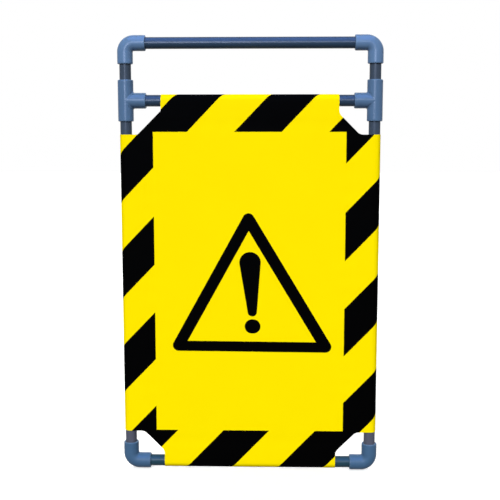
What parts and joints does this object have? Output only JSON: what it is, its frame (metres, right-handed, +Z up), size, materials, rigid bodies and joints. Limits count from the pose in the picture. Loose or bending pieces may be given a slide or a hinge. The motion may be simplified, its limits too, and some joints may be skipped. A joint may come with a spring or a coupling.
{
  "type": "road barrier",
  "caption": "Upright barrier panel: a plastic tube frame with a carrying rail on top and a striped warning sheet held on the tubes by sleeves.",
  "frame": {"origin": "on the floor, under the middle of the panel, in the plane of the tube axes", "axes": "+Z up the panel, +X across its width to the right as seen from the printed front, and +Y to the plain back"},
  "size_m": [0.594, 0.0352, 1],
  "materials": {
    "tube": "extruded PVC tube, dark slate grey, satin gloss",
    "fitting": "injection moulded PVC fitting, blue-grey, satin gloss",
    "sheet": "PVC-coated polyester sheet, yellow with black print, satin"
  },
  "bodies": {
    "root": {"top_rail": "tube", "mid_rail": "tube", "bottom_rail": "tube", "left_upright": "tube", "right_upright": "tube", "left_top_stub": "tube", "right_top_stub": "tube", "top_left_elbow": "fitting", "top_right_elbow": "fitting", "left_tee": "fitting", "right_tee": "fitting", "bottom_left_elbow": "fitting", "bottom_right_elbow": "fitting", "panel_sheet": "sheet"}
  },
  "joints": []
}
